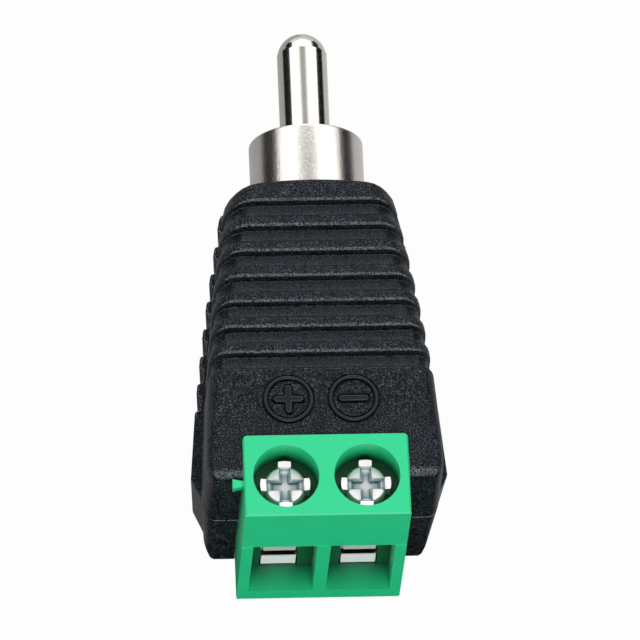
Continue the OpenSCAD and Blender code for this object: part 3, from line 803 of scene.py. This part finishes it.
screw = spun("plus_screw", head_profile, (pole_x, screw_y, head_z), **upright_axis)
for turn in (0, 90):
    tab = wedge(*tab_bar, turn)
    trim = spun("trim", trim_profile, (pole_x, screw_y, head_z + trim_lift), **upright_axis)
    carve(tab, trim, "INTERSECT")
    carve(screw, tab, "UNION")
for turn in (0, 90):
    carve(screw, wedge(*blade_slot, turn), "DIFFERENCE")
    carve(screw, wedge(*slot_mouth, turn), "DIFFERENCE")
open_mesh(screw)
bpy.ops.mesh.remove_doubles(threshold=carved_weld * mm)
bpy.ops.mesh.normals_make_consistent(inside=False)
close_mesh()
bpy.ops.object.shade_smooth_by_angle(angle=math.radians(turned_angle))
pick(screw)
bpy.ops.object.duplicate()
other_screw = named("minus_screw")
other_screw.location.x -= 2 * pole_x * mm
apply_place(other_screw)
stand_for(screw, "terminal_screw_plus", screw_zinc)
stand_for(other_screw, "terminal_screw_minus", screw_zinc)

# %% [markdown]
# ## Plus and minus signs
# The two signs stand out of the top face: a round rim with a bar or a cross in it, moulded with the body
# but polished in the tool, so they are smoother than the grain around them. Each rim starts as a disc
# whose face is inset and raised; the bars start as a small block whose sides are pulled out. A narrow
# channel runs round both, carved by a spun ring and by wider bars before the sign is set in.

# %% Rims and bars
sign_y = front_face_y + 5.22
rim_steps, end_round, end_segments = 96, 0.42, 5        # the bars' ends are rounded by a share of their width
slack = 0.01

def rim(name, x, outer, stroke, height, sunk):
    """A round rim of a given stroke, from sunk below the top face to height above it."""
    bpy.ops.object.select_all(action="DESELECT")
    bpy.ops.mesh.primitive_circle_add(vertices=rim_steps, radius=outer * mm, fill_type="NGON",
                                      location=(x * mm, sign_y * mm, (top_z - sunk) * mm))
    piece = named(name)
    apply_place(piece)
    open_mesh(piece)
    bpy.ops.mesh.select_mode(type="FACE")
    bpy.ops.mesh.inset(thickness=stroke * mm)
    bpy.ops.mesh.delete(type="FACE")
    bpy.ops.mesh.select_all(action="SELECT")
    bpy.ops.mesh.extrude_region_move(TRANSFORM_OT_translate={"value": (0, 0, (height + sunk) * mm)})
    bpy.ops.mesh.select_all(action="SELECT")
    bpy.ops.mesh.normals_make_consistent(inside=False)
    close_mesh()
    return piece

def bars(name, x, length, stroke, height, sunk, ways):
    """A bar or a cross with rounded ends, pulled out of a small block in each of the ways."""
    def end_face(face):
        centre = face.calc_center_median()
        aside = dy * (centre.x - x * mm) + dx * (centre.y - sign_y * mm)
        return face.normal.x * dx + face.normal.y * dy > straight and abs(aside) < stroke / 4 * mm

    def end_edge(edge):
        one, two = (point.co for point in edge.verts)
        out = max(abs(one.x - x * mm), abs(one.y - sign_y * mm))
        return abs(one.z - two.z) > slack * mm and out > (length / 2 - slack) * mm

    bpy.ops.object.select_all(action="DESELECT")
    bpy.ops.mesh.primitive_cube_add(size=stroke * mm, location=(x * mm, sign_y * mm, top_z * mm))
    piece = named(name)
    piece.scale = (1, 1, (height + sunk) / stroke)
    piece.location.z = (top_z + (height - sunk) / 2) * mm
    apply_place(piece)
    open_mesh(piece)
    pull = (length - stroke) / 2 * mm
    for dx, dy in ways:
        choose(piece, "faces", end_face)
        bpy.ops.mesh.extrude_region_move(TRANSFORM_OT_translate={"value": (dx * pull, dy * pull, 0)})
    choose(piece, "edges", end_edge)
    bpy.ops.mesh.bevel(offset=stroke * end_round * mm, segments=end_segments, affect="EDGES")
    close_mesh()
    return piece

print("signs at Y", sign_y)

# %% Signs
plus_x, minus_x = -2.20, 1.90
rim_r, rim_wide, bar_long, bar_wide, proud = 1.56, 0.22, 1.88, 0.40, 0.12
sign_edge, sign_segments, sign_angle = 0.09, 4, 50
channel_deep, channel_wide, root = 0.2, 0.12, 0.05      # the channel, and how far a sign goes below it
tool_high = 0.3                                         # how far a carving tool stands above the face
sideways, lengthways = [(1, 0), (-1, 0)], [(0, 1), (0, -1)]
channel_in, channel_out = rim_r - rim_wide - channel_wide, rim_r + channel_wide
channel_profile = [(-channel_deep, channel_in), (-channel_deep, channel_out), (tool_high, channel_out),
                   (tool_high, channel_in), (-channel_deep, channel_in)]

for name, x, ways in (("plus_sign", plus_x, sideways + lengthways), ("minus_sign", minus_x, sideways)):
    ring = spun("channel", channel_profile, (x, sign_y, top_z), **upright_axis)
    carve(upper_half, ring, "DIFFERENCE")
    room = bars("room", x, bar_long + 2 * channel_wide, bar_wide + 2 * channel_wide, tool_high,
                channel_deep, ways)
    carve(upper_half, room, "DIFFERENCE")
    sign = rim(name, x, rim_r, rim_wide, proud, channel_deep + root)
    mark = bars(name + "_bars", x, bar_long, bar_wide, proud, channel_deep + root, ways)
    pick(sign)
    mark.select_set(True)
    bpy.ops.object.join()
    soften(sign, sign_edge, sign_segments, sign_angle)
    coat(sign, sign_black)
    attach(sign, "body")
    print(name, "faces:", len(sign.data.polygons))
smooth(upper_half, edge_angle)

# %% [markdown]
# ## Measuring and finishing
# The dressed model has to keep to the CAD model's box. The two boxes are compared, and the last line
# prints how far the dressed model reaches beyond the CAD box on each side.

# %% Sizes
low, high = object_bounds()
grown_low = [round((a - b) / mm, 3) for a, b in zip(cad_low, low)]
grown_high = [round((a - b) / mm, 3) for a, b in zip(high, cad_high)]
print("grown in mm:", grown_low, grown_high)
